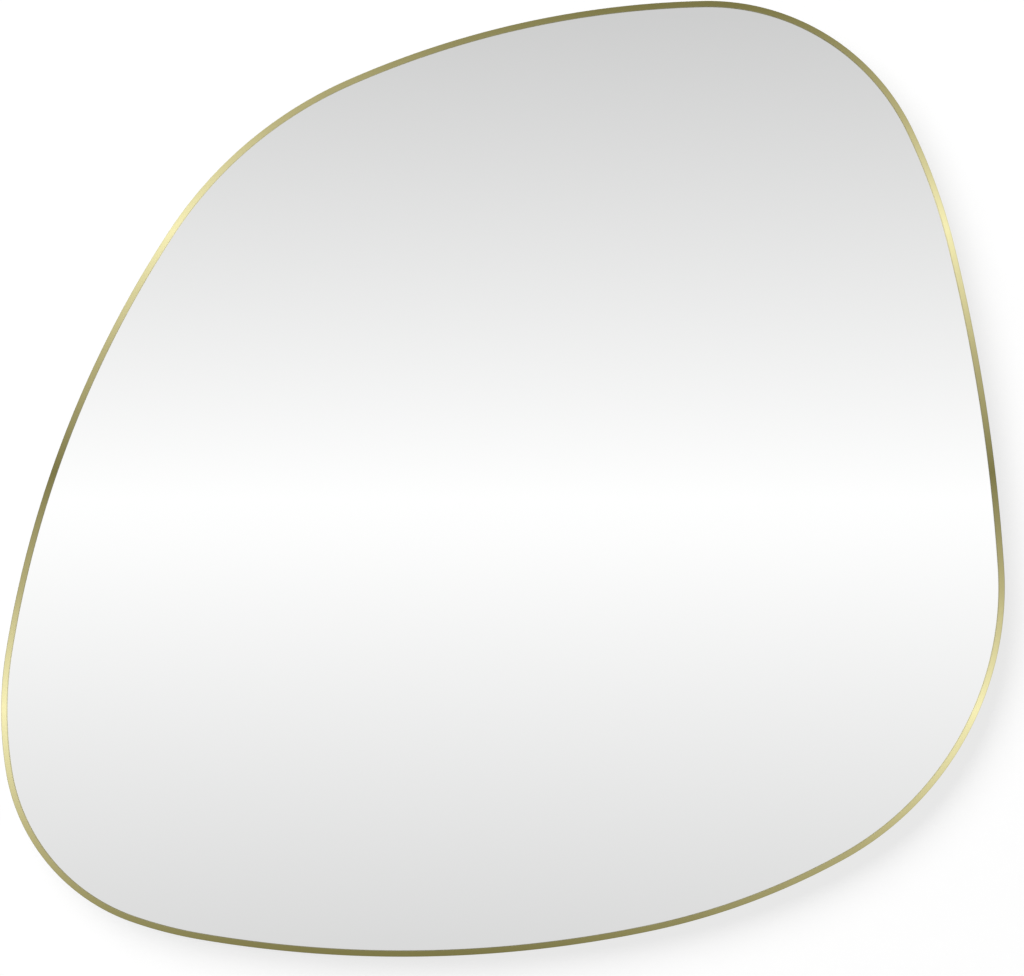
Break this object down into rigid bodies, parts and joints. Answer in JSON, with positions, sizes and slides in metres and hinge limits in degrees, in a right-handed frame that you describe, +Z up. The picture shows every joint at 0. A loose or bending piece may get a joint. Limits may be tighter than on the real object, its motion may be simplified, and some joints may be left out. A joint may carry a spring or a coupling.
{
  "type": "irregular wall mirror",
  "caption": "Wall mirror with a rounded irregular outline in a slim gold metal band, with a backing board, swinging hanging rings and wall bumpers.",
  "frame": {"origin": "on the wall plane, behind the middle of the mirror's overall width and height", "axes": "+X to the right as seen from the front, +Z up, +Y from the viewer into the wall; the mirror faces -Y"},
  "size_m": [0.84, 0.026, 0.8],
  "materials": {
    "gold_band": "satin gold plating on steel",
    "welded_tab": "bare sheet steel",
    "gasket_foam": "closed-cell foam",
    "mirror_glass": "silvered float glass, ground edges",
    "film": "safety film",
    "tape_foam": "double-sided foam tape",
    "fibreboard": "plain medium-density fibreboard",
    "zinc_strap": "bright zinc",
    "zinc_ring": "bright zinc",
    "zinc_screw": "yellow zinc",
    "bumper_rubber": "soft black rubber"
  },
  "bodies": {
    "framed_mirror": {"frame_band": "gold_band", "glass_gasket": "gasket_foam", "mirror_glass": "mirror_glass", "safety_film": "film", "bonding_tape_1": "tape_foam", "bonding_tape_2": "tape_foam", "bonding_tape_3": "tape_foam", "bonding_tape_4": "tape_foam", "bonding_tape_5": "tape_foam", "bonding_tape_6": "tape_foam", "backing_board": "fibreboard", "tab_right_side": "welded_tab", "tab_top_right_corner": "welded_tab", "tab_top_side": "welded_tab", "tab_upper_left_bend": "welded_tab", "tab_left_side": "welded_tab", "tab_lower_left_corner": "welded_tab", "tab_bottom_side": "welded_tab", "tab_bottom_right_rise": "welded_tab", "tab_lower_right_corner": "welded_tab", "board_screws": "zinc_screw", "hanger_strap_left": "zinc_strap", "hanger_strap_right": "zinc_strap", "bumper_top_right_corner": "bumper_rubber", "bumper_upper_left_bend": "bumper_rubber", "bumper_lower_left_corner": "bumper_rubber", "bumper_lower_right_corner": "bumper_rubber"},
    "ring_left": {"hanger_ring_left": "zinc_ring"},
    "ring_right": {"hanger_ring_right": "zinc_ring"}
  },
  "joints": [
    {"name": "ring_left_swing", "type": "hinge", "parent": "framed_mirror", "child": "ring_left", "pos_m": [-0.2, -0.00742, 0.175], "axis": [1, 0, 0], "range_deg": [0, 179]},
    {"name": "ring_right_swing", "type": "hinge", "parent": "framed_mirror", "child": "ring_right", "pos_m": [0.2, -0.00742, 0.175], "axis": [1, 0, 0], "range_deg": [0, 179]}
  ]
}
